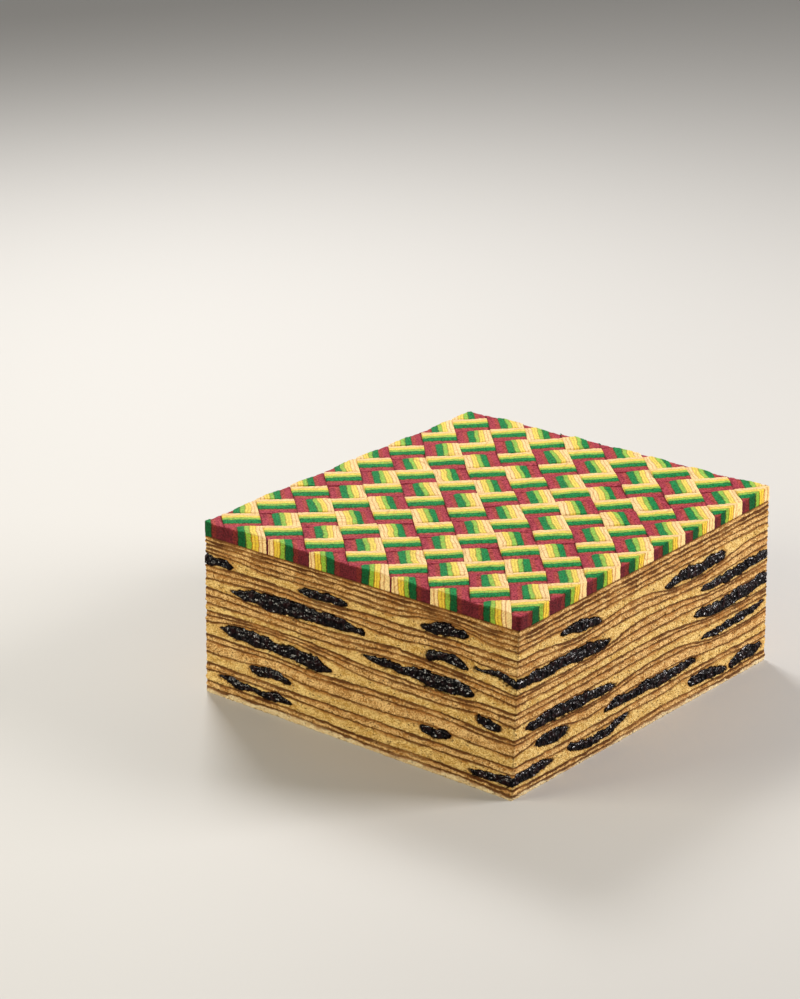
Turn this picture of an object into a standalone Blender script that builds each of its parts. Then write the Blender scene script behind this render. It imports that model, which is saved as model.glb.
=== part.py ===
"""Kue lapis: a tall square cake of thin grilled batter layers, with pressed prunes, under a woven top.

Twenty-one layers lie on one another. Six of them hold flattened prunes, which show at the cut sides, and
the layers over a prune bend round it. The top is a sheet of small square tiles, laid edge to edge at a
slant to the sides. The sides are cut by hand, so each corner leans a little its own way.

Units are metres, +Z is up, and the origin is at the middle of the foot. The perimeter of the cake is
measured from the front left corner along the front (-Y), right (+X), back (+Y) and left (-X) sides.
"""
import math
import random

import bmesh
import bpy
from mathutils import Vector
from mathutils import noise

MM = 0.001

# Whole cake
CAKE_HEIGHT = 65.0 * MM
GAP = 0.3 * MM
CORNERS_AT_FOOT = [(-69.0, -73.2), (67.6, -75.6), (68.5, 72.8), (-67.5, 72.6)]
CORNERS_AT_TOP = [(-66.3, -74.6), (69.0, -74.2), (65.9, 75.6), (-66.4, 73.8)]

# Layers: the height of each layer's upper face, from the foot up
LAYER_TOPS = [2.4, 4.6, 8.8, 11.6, 15.8, 20.4, 22.6, 26.0, 29.0, 31.4, 34.6,
              37.8, 40.6, 43.6, 46.6, 49.2, 52.2, 54.2, 56.4, 58.1, 59.4]
SEGMENTS_ON_SIDE = [11, 12, 11, 12]
THINNEST_LAYER = 0.9 * MM
WAVE_HEIGHT = 0.7 * MM
WAVE_LENGTH = 42.0 * MM
WAVE_SHIFT = 0.3
CUT_ROUGHNESS = 0.45 * MM
CUT_ROUGHNESS_LENGTH = 9.0 * MM
CUT_SHIFT = 3.7
COVER_ON_PRUNE = 0.5 * MM
BEND_KEPT_PER_LAYER = 0.55
BEND_RUN_OUT = 4.0 * MM

# Woven top
SHEET_THICKNESS = 5.3 * MM
TILE = 12.9 * MM
TILE_TURN = math.radians(46.2)
TILE_ORIGIN = (7.6 * MM, -29.3 * MM)
TILE_REACH = 10
GROOVE_HALF_WIDTH = 0.35 * MM
GROOVE_DEPTH = 0.6 * MM
TILE_UNEVENNESS = 0.25 * MM
TILE_TIP = 0.075 * MM
TILE_DRAW = 21

# How the rows of tiles drift, in tiles: the front and back rows shift along them, and the middle
# sags to the front
FRONT_SHIFT = 0.012
BACK_SHIFT = 0.05
BACK_ROWS = 6.0
SAG = 0.2
SAG_LOST_IN_FRONT = 0.013
SQUEEZED_ROWS = 5.5
SAG_LOST_BEHIND = 0.02
SAG_LOST_ASIDE = 0.35
SAG_HALF_WIDTH = 6.5

# The sheet has sunk a little at the middle of the right side, and its tiles have slid back there
SINK = 1.6 * MM
SINK_MIDDLE = (69.0 * MM, 15.0 * MM)
SINK_INWARDS = 32.0 * MM
SINK_ALONG = 35.0 * MM
SLIDE = Vector((-1.5, 2.0))

# Prunes
PRUNE_PROUD = 0.25 * MM
CENTRE_INSIDE = 0.12
CORNER_TURN = 25.0 * MM
SIDES_ROUND_PRUNE = 6
STATION_LENGTH = 11.5 * MM
END_STATIONS = 3
LUMP = 0.22
LUMP_LENGTH = 7.0 * MM
PLUMPNESS = 3.2
PINCH = 0.45
WAVER = 0.35 * MM
WAVER_RATE = 2.2

# The layer that holds each row of prunes, with row 1 at the top
LAYER_OF_ROW = {1: 17, 2: 14, 3: 11, 4: 8, 5: 5, 6: 3}

# Places along a prune, from -1 to 1, at which its highest and lowest points are sought
STATIONS = [-0.8, -0.4, 0.0, 0.4, 0.8]
SIDE_NUMBER = {"front": 0, "right": 1, "back": 2, "left": 3}

# What a prune's start, row and side add to its place in the noise, so that no two have the same lumps
SEED_STEPS = (0.37, 5.1, 17.0)


class Prune:
    """A flattened prune, or a few in a touching row, at one side of the cake.

    start and end are distances in mm from the left end of the side, seen from outside, and an end past the
    side's length goes on round the corner. height is the middle's height and thick the thickness, in mm.
    tilt raises the far end, arch raises the middle, swell thickens the far end and pieces counts the
    prunes in the row.
    """

    def __init__(self, row, side, start, end, height, thick,
                 tilt=0.0, arch=0.0, swell=0.0, pieces=1, reach=14.0):
        self.row = row
        self.layer = LAYER_OF_ROW[row]
        self.side = side
        self.middle = SIDE_START[side] + 0.5 * (start + end) * MM
        self.half_length = 0.5 * (end - start) * MM
        self.height = height * MM
        self.half_thick = 0.5 * thick * MM
        self.tilt = tilt * MM
        self.arch = arch * MM
        self.swell = swell
        self.pieces = pieces
        self.reach = reach * MM
        self.seed = sum(step * value for step, value in zip(SEED_STEPS, (start, row, SIDE_NUMBER[side])))

    def centre_height(self, u):
        """Height of the prune's middle line, with u running from -1 to 1 along it."""
        waver = WAVER * noise.noise(Vector((WAVER_RATE * u, self.seed, 0.0)))
        return self.height + self.tilt * u + self.arch * (0.5 - u * u) + waver

    def half_thickness(self, u):
        """Half the thickness at u, full along each piece and pinched where two pieces meet."""
        end_taper = max(0.0, 1.0 - abs(u) ** PLUMPNESS) ** 0.5
        place = (0.5 * (u + 1.0) * self.pieces) % 1.0
        pinch = 1.0
        if self.pieces > 1:
            pinch = 1.0 - PINCH + PINCH * math.sin(math.pi * place) ** 0.5
        return self.half_thick * end_taper * pinch * (1.0 + self.swell * u)

    def top(self):
        """The prune's highest point."""
        return max(self.centre_height(u) + self.half_thickness(u) for u in STATIONS)

    def bottom(self):
        """The prune's lowest point."""
        return min(self.centre_height(u) - self.half_thickness(u) for u in STATIONS)


def corners_at(height):
    """The four corners in plan at a height, from the foot and top corners."""
    share = height / CAKE_HEIGHT
    corners = []
    for foot, top in zip(CORNERS_AT_FOOT, CORNERS_AT_TOP):
        corners.append(Vector(foot).lerp(Vector(top), share) * MM)
    return corners


def side_lengths():
    """The length of each side at half height."""
    corners = corners_at(0.5 * CAKE_HEIGHT)
    return [(corners[(i + 1) % 4] - corners[i]).length for i in range(4)]


SIDE_LENGTHS = side_lengths()
SIDE_START = {side: sum(SIDE_LENGTHS[:number]) for side, number in SIDE_NUMBER.items()}
PERIMETER = sum(SIDE_LENGTHS)


def perimeter_point(distance, height):
    """The plan point on the cut side at a distance round the perimeter, and the direction inwards there."""
    distance %= PERIMETER
    number = 0
    while number < 3 and distance > SIDE_LENGTHS[number]:
        distance -= SIDE_LENGTHS[number]
        number += 1
    corners = corners_at(height)
    start = corners[number]
    end = corners[(number + 1) % 4]
    length = SIDE_LENGTHS[number]
    heading = math.atan2(end.y - start.y, end.x - start.x)
    turn_after = max(0.0, 1.0 - (length - distance) / CORNER_TURN)
    turn_before = max(0.0, 1.0 - distance / CORNER_TURN)
    angle = heading + 0.5 * math.pi + 0.25 * math.pi * (turn_after - turn_before)
    inwards = Vector((math.cos(angle), math.sin(angle)))
    return start.lerp(end, distance / length), inwards


PRUNES = [
    # Row 1
    Prune(1, "front", 42, 64, 50.3, 3.3),
    Prune(1, "front", 95.5, 116, 52.2, 4.2, tilt=0.6),
    Prune(1, "right", 22.5, 47, 49.6, 3.7, tilt=-1.2),
    Prune(1, "right", 83, 122, 48.2, 4.7, arch=-0.5, swell=0.25),
    Prune(1, "back", 34, 72, 50.4, 4.0, arch=0.4),
    Prune(1, "left", 50, 84, 50.5, 4.2, tilt=0.4),
    Prune(1, "left", 138, 160.5, 51.0, 3.8),
    # Row 2
    Prune(2, "front", 11, 73, 42.1, 5.5, tilt=0.2, arch=0.5),
    Prune(2, "front", 98, 116.5, 41.9, 4.0, arch=1.3),
    Prune(2, "front", 117.5, 189, 40.9, 4.5, tilt=-1.6, arch=-0.4, swell=0.4),
    Prune(2, "right", 106, 159, 40.1, 4.1, tilt=0.8, arch=-0.6, swell=0.2),
    Prune(2, "back", 62, 102, 41.8, 4.2, arch=0.3),
    Prune(2, "left", 24, 74, 42.0, 4.8, pieces=2),
    # Row 3
    Prune(3, "front", 70, 119, 33.4, 4.9, tilt=-0.4, swell=0.45),
    Prune(3, "right", 102, 157, 30.9, 5.2, tilt=0.3, arch=-1.2, swell=0.1),
    Prune(3, "back", 34, 78, 32.9, 4.2, arch=0.4, pieces=2),
    Prune(3, "left", 88, 132, 33.0, 4.6, tilt=0.5),
    # Row 4
    Prune(4, "front", 6.5, 58.5, 25.5, 6.4, tilt=-1.0, arch=0.7, pieces=2),
    Prune(4, "front", 120, 131, 24.6, 3.9, tilt=-0.8),
    Prune(4, "right", 4, 57, 23.0, 4.5, tilt=-0.8, reach=11.0),
    Prune(4, "right", 107, 148, 21.4, 3.7, tilt=0.5, arch=-0.9, pieces=2),
    Prune(4, "back", 80, 122, 24.3, 4.4, tilt=-0.4),
    Prune(4, "left", 18, 66, 24.2, 4.8, pieces=2),
    # Row 5
    Prune(5, "front", 20, 40, 14.8, 4.0, tilt=-0.4),
    Prune(5, "front", 96, 110, 14.8, 4.2, tilt=-0.3, arch=-1.4),
    Prune(5, "right", 11, 30, 15.2, 5.6, tilt=-0.6, reach=11.0),
    Prune(5, "right", 49.5, 106, 14.7, 4.9, pieces=3),
    Prune(5, "back", 20, 52, 14.6, 4.2, arch=0.5),
    Prune(5, "left", 84, 118, 14.4, 4.4, tilt=0.4),
    # Row 6
    Prune(6, "front", 5, 41, 7.3, 3.6, tilt=-0.5, arch=-0.3, pieces=2),
    Prune(6, "front", 117, 158.5, 6.4, 4.1, tilt=0.3),
    Prune(6, "right", 29, 65.5, 7.2, 3.8, arch=-2.0),
    Prune(6, "right", 99.5, 124, 6.8, 5.0, tilt=-1.5, swell=-0.2),
    Prune(6, "right", 125.5, 147, 6.4, 4.4, tilt=0.8, reach=11.0),
    Prune(6, "back", 62, 100, 7.0, 4.0, arch=0.4),
    Prune(6, "left", 30, 70, 7.2, 3.8, tilt=0.4, pieces=2),
]


def clear_scene():
    """Removes whatever the file opens with."""
    for thing in list(bpy.data.objects):
        bpy.data.objects.remove(thing, do_unlink=True)


def make_collection(name):
    """A collection of its own in the scene."""
    collection = bpy.data.collections.new(name)
    bpy.context.scene.collection.children.link(collection)
    return collection


def make_material(name, colour, roughness):
    """A Principled material with one colour."""
    material = bpy.data.materials.new(name)
    material.use_nodes = True
    material.diffuse_color = (*colour, 1.0)
    shader = material.node_tree.nodes["Principled BSDF"]
    shader.inputs["Base Color"].default_value = (*colour, 1.0)
    shader.inputs["Roughness"].default_value = roughness
    shader.inputs["Metallic"].default_value = 0.0
    return material


def add_object(name, mesh_data, collection, material=None):
    """Turns a bmesh into an object in a collection."""
    mesh = bpy.data.meshes.new(name)
    mesh_data.to_mesh(mesh)
    mesh_data.free()
    if material:
        mesh.materials.append(material)
    new_object = bpy.data.objects.new(name, mesh)
    collection.objects.link(new_object)
    return new_object


def add_guide(name, mesh_data, collection):
    """An object that only cuts others."""
    guide = add_object(name, mesh_data, collection)
    guide.hide_render = True
    guide.display_type = "WIRE"
    return guide


def add_boolean(target, tool, operation):
    """A Boolean modifier on the target."""
    modifier = target.modifiers.new(operation.title() + " " + tool.name, "BOOLEAN")
    modifier.operation = operation
    modifier.object = tool
    modifier.solver = "EXACT"


def outline_block(lowest, highest, outset):
    """A block that fills the cake's outline between two heights, grown by outset."""
    block = bmesh.new()
    bmesh.ops.create_cube(block, size=2.0)
    order = {(-1, -1): 0, (1, -1): 1, (1, 1): 2, (-1, 1): 3}
    for vertex in block.verts:
        number = order[(round(vertex.co.x), round(vertex.co.y))]
        height = highest if vertex.co.z > 0.0 else lowest
        corner = corners_at(height)[number]
        away = Vector((math.copysign(outset, corner.x), math.copysign(outset, corner.y)))
        vertex.co = Vector((*(corner + away), height))
    return block


def distance_from(prune, distance):
    """The signed distance round the perimeter from a prune's middle."""
    return (distance - prune.middle + 0.5 * PERIMETER) % PERIMETER - 0.5 * PERIMETER


def bend_round_prunes(boundary, distance):
    """How far the prunes lift or press a boundary between layers at a distance round the perimeter."""
    bend = 0.0
    for prune in PRUNES:
        away = abs(distance_from(prune, distance))
        nearness = math.exp(-(away / (prune.half_length + BEND_RUN_OUT)) ** 4)
        over = boundary - prune.layer
        if over >= 0:
            lift = max(0.0, prune.top() + COVER_ON_PRUNE - LAYER_TOPS[prune.layer - 1] * MM)
            bend += lift * nearness * BEND_KEPT_PER_LAYER ** over
        else:
            dip = max(0.0, LAYER_TOPS[prune.layer - 2] * MM - prune.bottom() + COVER_ON_PRUNE)
            bend -= dip * nearness * BEND_KEPT_PER_LAYER ** (-1 - over)
    return bend


def room_for_prunes(boundary, distance):
    """The lowest and highest that a boundary may lie, to clear the prunes below and above it."""
    lowest = boundary * THINNEST_LAYER
    highest = LAYER_TOPS[-1] * MM - (len(LAYER_TOPS) - boundary) * THINNEST_LAYER
    for prune in PRUNES:
        u = distance_from(prune, distance) / prune.half_length
        if abs(u) < 1.0:
            over = boundary - prune.layer
            if over >= 0:
                top = prune.centre_height(u) + prune.half_thickness(u) + COVER_ON_PRUNE
                lowest = max(lowest, top + over * THINNEST_LAYER)
            else:
                bottom = prune.centre_height(u) - prune.half_thickness(u) - COVER_ON_PRUNE
                highest = min(highest, bottom + (over + 1) * THINNEST_LAYER)
    return lowest, highest


def boundary_heights(distance):
    """The heights of all layer boundaries at a distance round the perimeter, from the foot up."""
    heights = [0.0]
    for boundary, top in enumerate(LAYER_TOPS[:-1], start=1):
        point, _ = perimeter_point(distance, top * MM)
        spot = Vector((point.x / WAVE_LENGTH, point.y / WAVE_LENGTH, WAVE_SHIFT * boundary))
        wave = WAVE_HEIGHT * noise.noise(spot)
        lowest, highest = room_for_prunes(boundary, distance)
        height = top * MM + wave + bend_round_prunes(boundary, distance)
        heights.append(max(heights[-1] + THINNEST_LAYER, lowest, min(highest, height)))
    heights.append(LAYER_TOPS[-1] * MM)
    return heights


def outline_distances():
    """Distances round the perimeter of the points that every layer's rim has."""
    distances = []
    for number, segments in enumerate(SEGMENTS_ON_SIDE):
        start = sum(SIDE_LENGTHS[:number])
        distances += [start + SIDE_LENGTHS[number] * step / segments for step in range(segments)]
    return distances


def rim_point(distance, height, layer):
    """A point on a layer's cut side, a little in or out of the plane of the cut."""
    point, inwards = perimeter_point(distance, height)
    spot = Vector((point.x / CUT_ROUGHNESS_LENGTH, point.y / CUT_ROUGHNESS_LENGTH, CUT_SHIFT * layer))
    rough = CUT_ROUGHNESS * noise.noise(spot)
    return Vector((*(point + inwards * rough), height))


def layer_solid(layer, distances, heights):
    """A layer: a disc whose rim is drawn out to the cake's outline and bent over the prunes."""
    solid = bmesh.new()
    count = len(distances)
    bmesh.ops.create_cone(solid, cap_ends=True, cap_tris=True, segments=count,
                          radius1=1.0, radius2=1.0, depth=2.0)
    for vertex in solid.verts:
        is_top = vertex.co.z > 0.0
        boundary = layer if is_top else layer - 1
        clearance = -0.5 * GAP if is_top else 0.5 * GAP
        if boundary == 0:
            clearance = 0.0
        if vertex.co.xy.length < 0.5:
            middle = LAYER_TOPS[boundary - 1] * MM if boundary else 0.0
            vertex.co = Vector((0.0, 0.0, middle + clearance))
            continue
        step = round(math.atan2(-vertex.co.x, vertex.co.y) / (2.0 * math.pi) * count) % count
        height = heights[step][boundary]
        point = rim_point(distances[step], height, layer)
        vertex.co = Vector((point.x, point.y, height + clearance))
    return solid


def prune_solid(prune, grow):
    """A prune's lumpy lens, grown on all sides, bent along the perimeter and reaching into the cake."""
    solid = bmesh.new()
    stations = END_STATIONS + round(2.0 * prune.half_length / STATION_LENGTH)
    bmesh.ops.create_uvsphere(solid, u_segments=SIDES_ROUND_PRUNE, v_segments=stations, radius=1.0)
    bmesh.ops.triangulate(solid, faces=solid.faces, quad_method="FIXED")
    for vertex in solid.verts:
        u = max(-1.0, min(1.0, vertex.co.z))
        across = vertex.co.xy.length
        spoke = vertex.co.xy / across if across > 1e-4 else Vector((0.0, 0.0))
        lump = 1.0 + LUMP * noise.noise(Vector((prune.half_length / LUMP_LENGTH * u, spoke.y, prune.seed)))
        rise = (prune.half_thickness(u) * lump + grow) * spoke.y
        depth = (prune.reach * max(0.0, 1.0 - u * u) ** 0.5 + grow) * spoke.x
        height = prune.centre_height(u) + rise
        distance = prune.middle + u * (prune.half_length + grow)
        point, inwards = perimeter_point(distance, height)
        place = point + inwards * (CENTRE_INSIDE * prune.reach + depth)
        vertex.co = Vector((*place, height))
    return solid


def hand_laid(x, y):
    """Where a point of an even grid of tiles lies once the rows are laid by eye, with +y to the back."""
    i = x / TILE
    j = -y / TILE
    along = i - FRONT_SHIFT * max(0.0, j) ** 2 + BACK_SHIFT * max(0.0, -BACK_ROWS - j)
    squeezed = min(max(0.0, j + 1.0), SQUEEZED_ROWS)
    sag = SAG - SAG_LOST_IN_FRONT * squeezed ** 2 - SAG_LOST_BEHIND * max(0.0, -1.0 - j)
    down = j + sag - SAG_LOST_ASIDE * ((i - 1.0) / SAG_HALF_WIDTH) ** 2
    return along * TILE, -down * TILE


def sunk(point):
    """How far the sheet has sunk at a point in plan."""
    inwards = (point.x - SINK_MIDDLE[0]) / SINK_INWARDS
    along = (point.y - SINK_MIDDLE[1]) / SINK_ALONG
    return SINK * math.exp(-inwards ** 2 - along ** 2)


def woven_solid():
    """The sheet of tiles before its sides are cut: raised squares with a groove between each two."""
    solid = bmesh.new()
    cells = 2 * TILE_REACH
    bmesh.ops.create_grid(solid, x_segments=cells, y_segments=cells, size=TILE_REACH * TILE)
    tiles = bmesh.ops.inset_individual(solid, faces=solid.faces, thickness=GROOVE_HALF_WIDTH)
    borders = set(tiles["faces"])
    draw = random.Random(TILE_DRAW)
    for face in [face for face in solid.faces if face not in borders]:
        raised = GROOVE_DEPTH + draw.uniform(-TILE_UNEVENNESS, TILE_UNEVENNESS)
        for vertex in face.verts:
            vertex.co.z = raised + draw.uniform(-TILE_TIP, TILE_TIP)
    lower = bmesh.ops.extrude_face_region(solid, geom=solid.faces[:], use_keep_orig=True)
    for vertex in [item for item in lower["geom"] if isinstance(item, bmesh.types.BMVert)]:
        vertex.co.z = -2.0 * SHEET_THICKNESS
    cosine = math.cos(TILE_TURN)
    sine = math.sin(TILE_TURN)
    for vertex in solid.verts:
        x, y = hand_laid(vertex.co.x, vertex.co.y)
        place = Vector((x * cosine - y * sine, x * sine + y * cosine)) + Vector(TILE_ORIGIN)
        lowered = sunk(place)
        vertex.co.xy = place + lowered * SLIDE
        vertex.co.z += CAKE_HEIGHT - GROOVE_DEPTH - lowered
    bmesh.ops.recalc_face_normals(solid, faces=solid.faces)
    return solid


def build_layers(collection, cutters, sponge, rich_sponge):
    """All the layers, with a pocket for each prune that reaches into them."""
    distances = outline_distances()
    heights = [boundary_heights(distance) for distance in distances]
    for layer in range(1, len(LAYER_TOPS) + 1):
        material = rich_sponge if layer in LAYER_OF_ROW.values() else sponge
        solid = add_object(f"layer_{layer:02d}", layer_solid(layer, distances, heights), collection, material)
        lowest = min(vertex.co.z for vertex in solid.data.vertices)
        highest = max(vertex.co.z for vertex in solid.data.vertices)
        for cutter, bottom, top in cutters:
            if bottom < highest and top > lowest:
                add_boolean(solid, cutter, "DIFFERENCE")


def build_prunes(collection, guides, material):
    """All the prunes, trimmed at the cut sides, and the cutters for their pockets."""
    cutters = []
    count_in_row = {}
    for prune in PRUNES:
        letter = "abcdefghij"[count_in_row.get(prune.row, 0)]
        count_in_row[prune.row] = count_in_row.get(prune.row, 0) + 1
        name = f"prune_{prune.row}{letter}"
        solid = add_object(name, prune_solid(prune, 0.0), collection, material)
        lowest = min(vertex.co.z for vertex in solid.data.vertices) - GAP
        highest = max(vertex.co.z for vertex in solid.data.vertices) + GAP
        trim = add_guide("trim_" + name, outline_block(lowest, highest, PRUNE_PROUD), guides)
        add_boolean(solid, trim, "INTERSECT")
        cutter = add_guide("pocket_" + name, prune_solid(prune, GAP), guides)
        cutters.append((cutter, lowest - GAP, highest + GAP))
    return cutters


def build_woven_top(collection, guides, material):
    """The woven sheet, cut to the cake's outline."""
    solid = add_object("woven_top", woven_solid(), collection, material)
    underside = CAKE_HEIGHT - SHEET_THICKNESS
    block = outline_block(underside, CAKE_HEIGHT + SHEET_THICKNESS, 0.0)
    trim = add_guide("trim_woven_top", block, guides)
    add_boolean(solid, trim, "INTERSECT")


def build_cake():
    """The whole cake."""
    clear_scene()
    cake = make_collection("Kue lapis")
    guides = make_collection("Kue lapis cutters")
    sponge = make_material("Grilled sponge", (0.62, 0.36, 0.13), 0.85)
    rich_sponge = make_material("Pale sponge", (0.68, 0.47, 0.17), 0.8)
    prune_flesh = make_material("Prune", (0.02, 0.01, 0.015), 0.35)
    striped = make_material("Striped tiles", (0.55, 0.1, 0.1), 0.7)
    cutters = build_prunes(cake, guides, prune_flesh)
    build_layers(cake, cutters, sponge, rich_sponge)
    build_woven_top(cake, guides, striped)


build_cake()
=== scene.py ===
import math

import bmesh
import bpy
import numpy as np
from mathutils import Matrix, Vector
from mathutils import noise
from mathutils.bvhtree import BVHTree


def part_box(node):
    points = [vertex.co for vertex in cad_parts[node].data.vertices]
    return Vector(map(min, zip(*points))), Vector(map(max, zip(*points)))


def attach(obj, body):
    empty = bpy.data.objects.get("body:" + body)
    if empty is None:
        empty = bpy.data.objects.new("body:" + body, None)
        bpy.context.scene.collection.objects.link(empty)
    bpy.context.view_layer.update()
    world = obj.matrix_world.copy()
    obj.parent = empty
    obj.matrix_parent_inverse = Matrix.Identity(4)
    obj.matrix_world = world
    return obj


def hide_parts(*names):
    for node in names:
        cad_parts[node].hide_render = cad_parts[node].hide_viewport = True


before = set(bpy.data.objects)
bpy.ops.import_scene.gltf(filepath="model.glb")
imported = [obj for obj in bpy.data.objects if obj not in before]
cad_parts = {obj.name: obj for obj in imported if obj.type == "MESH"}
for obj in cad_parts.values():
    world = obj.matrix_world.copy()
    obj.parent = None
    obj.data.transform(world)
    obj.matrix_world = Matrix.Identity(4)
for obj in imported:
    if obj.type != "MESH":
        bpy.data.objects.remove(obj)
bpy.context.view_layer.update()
MM = 0.001

# View
# The cake stands a corner towards the viewer, seen a little from above through a long lens. The place and
# the angles are those at which the photograph was taken.
CAMERA_PLACE = (615.2 * MM, -801.4 * MM, 446.1 * MM)
CAMERA_TURN = 39.30
CAMERA_DOWN = 20.59
CAMERA_ROLL = -0.22
LENS = 111.86

camera_data = bpy.data.cameras.new("view")
camera_data.lens = LENS
camera_data.sensor_width = 36.0
camera_data.clip_start = 0.01
camera = bpy.data.objects.new("view", camera_data)
bpy.context.scene.collection.objects.link(camera)
turn = Matrix.Rotation(math.radians(CAMERA_TURN), 4, "Z")
tip = Matrix.Rotation(math.radians(90.0 - CAMERA_DOWN), 4, "X")
roll = Matrix.Rotation(math.radians(CAMERA_ROLL), 4, "Z")
camera.matrix_world = Matrix.Translation(CAMERA_PLACE) @ turn @ tip @ roll
bpy.context.scene.camera = camera


# Studio
# A plain pale table in a dim, even room. One broad lamp stands behind the cake on its right, a smaller one
# behind on its left, and a warm one lights the front from the left. The wet fruit mirrors them.
TABLE_HALF = 4.0
TABLE_COLOUR = (0.56, 0.55, 0.53)
ROOM_COLOUR = (1.0, 0.98, 0.95, 1.0)
ROOM_GLOW = 0.26
AIM_HEIGHT = 0.03


def plain_material(name, colour, roughness):
    """A Principled material with one colour, and its shader node."""
    material = bpy.data.materials.new(name)
    material.use_nodes = True
    shader = material.node_tree.nodes["Principled BSDF"]
    shader.inputs["Base Color"].default_value = (*colour, 1.0)
    shader.inputs["Roughness"].default_value = roughness
    return material, shader


def soft_lamp(name, place, size, power, warmth):
    """A square area lamp that faces the middle of the cake."""
    lamp_data = bpy.data.lights.new(name, "AREA")
    lamp_data.size = size
    lamp_data.energy = power
    lamp_data.color = warmth
    lamp = bpy.data.objects.new(name, lamp_data)
    bpy.context.scene.collection.objects.link(lamp)
    lamp.location = place
    aim = Vector((0.0, 0.0, AIM_HEIGHT)) - Vector(place)
    lamp.rotation_euler = aim.to_track_quat("-Z", "Y").to_euler()


table_mesh = bmesh.new()
bmesh.ops.create_grid(table_mesh, x_segments=1, y_segments=1, size=TABLE_HALF)
table_data = bpy.data.meshes.new("table_top")
table_mesh.to_mesh(table_data)
table_mesh.free()
table_top = bpy.data.objects.new("table_top", table_data)
table_material, _ = plain_material("Pale table", TABLE_COLOUR, 0.6)
table_data.materials.append(table_material)
bpy.context.scene.collection.objects.link(table_top)

room = bpy.data.worlds.new("Soft room")
room.use_nodes = True
glow = room.node_tree.nodes["Background"]
glow.inputs["Color"].default_value = ROOM_COLOUR
glow.inputs["Strength"].default_value = ROOM_GLOW
bpy.context.scene.world = room
bpy.context.scene.view_settings.view_transform = "Standard"
soft_lamp("key", (0.75, 0.55, 0.5), 0.45, 11.6, (1.0, 0.96, 0.94))
soft_lamp("rim", (-0.55, 0.35, 0.6), 0.25, 4.8, (1.0, 0.98, 0.97))
soft_lamp("fill", (-0.5, -0.7, 0.4), 0.5, 6.2, (1.0, 0.94, 0.77))


# Cut sides
# The four sides are one cut through everything, made by hand with a long knife. They lean a little, so the
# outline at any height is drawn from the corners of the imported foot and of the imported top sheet.
SAME_HEIGHT = 0.2 * MM
CORNER_ROUNDING = 0.25 * MM


def plan_corners(node, height):
    """The four corners in plan of a node's points near a height, counter-clockwise from the front left."""
    points = [v.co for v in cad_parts[node].data.vertices if abs(v.co.z - height) < SAME_HEIGHT]
    picks = (lambda p: p.x + p.y, lambda p: p.y - p.x, lambda p: -p.x - p.y, lambda p: p.x - p.y)
    return [min(points, key=pick).xy.copy() for pick in picks]


SHEET_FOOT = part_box("woven_top")[0].z
FOOT_CORNERS = plan_corners("layer_01", 0.0)
UPPER_CORNERS = plan_corners("woven_top", SHEET_FOOT)
MIDDLE_CORNERS = [foot.lerp(upper, 0.5) for foot, upper in zip(FOOT_CORNERS, UPPER_CORNERS)]
SIDE_LENGTHS = [(MIDDLE_CORNERS[(i + 1) % 4] - MIDDLE_CORNERS[i]).length for i in range(4)]
ROUND_LENGTH = sum(SIDE_LENGTHS)


def corners_at(height):
    """The four corners of the cut at a height."""
    share = height / SHEET_FOOT
    return [foot.lerp(upper, share) for foot, upper in zip(FOOT_CORNERS, UPPER_CORNERS)]


def sharp_point(way, height):
    """The plan point of the cut at a way round the cake, before the corners are softened."""
    way %= ROUND_LENGTH
    side = 0
    while side < 3 and way > SIDE_LENGTHS[side]:
        way -= SIDE_LENGTHS[side]
        side += 1
    corners = corners_at(height)
    return corners[side].lerp(corners[(side + 1) % 4], way / SIDE_LENGTHS[side])


def cut_point(way, height):
    """The plan point of the cut and the outward direction there, with softened corners."""
    before = sharp_point(way - CORNER_ROUNDING, height)
    after = sharp_point(way + CORNER_ROUNDING, height)
    along = (after - before).normalized()
    return 0.5 * (before + after), Vector((along.y, -along.x))


def cut_planes(height):
    """A point and the outward direction of each of the four sides at a height."""
    corners = corners_at(height)
    planes = []
    for side in range(4):
        along = (corners[(side + 1) % 4] - corners[side]).normalized()
        planes.append((corners[side], Vector((along.y, -along.x))))
    return planes


# Prunes
# Soft dried plums, stoned and pressed flat into the wet batter in rows. The knife has gone through them,
# and their near-black flesh shows at the sides, torn, sticky and wet. The relief of each is a sum of
# noises, given as height, lump size and a shift that keeps each from looking like the next.
PRUNE_GRID = 0.6 * MM
SWAY = ((1.1 * MM, 8.0 * MM, 1.0),)
LUMPS = ((0.85 * MM, 4.2 * MM, 3.0), (0.45 * MM, 1.7 * MM, 5.0))
TORN = ((0.55 * MM, 1.6 * MM, 7.0), (0.15 * MM, 0.8 * MM, 9.0))
TORN_DEPTH = 0.3 * MM
FLAT_DEPTH = 1.5 * MM
BLACK_FLESH = (0.002, 0.001, 0.002, 1.0)
RED_FLESH = (0.017, 0.005, 0.006, 1.0)
FLESH_BUMP = 2.2 * MM


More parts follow.
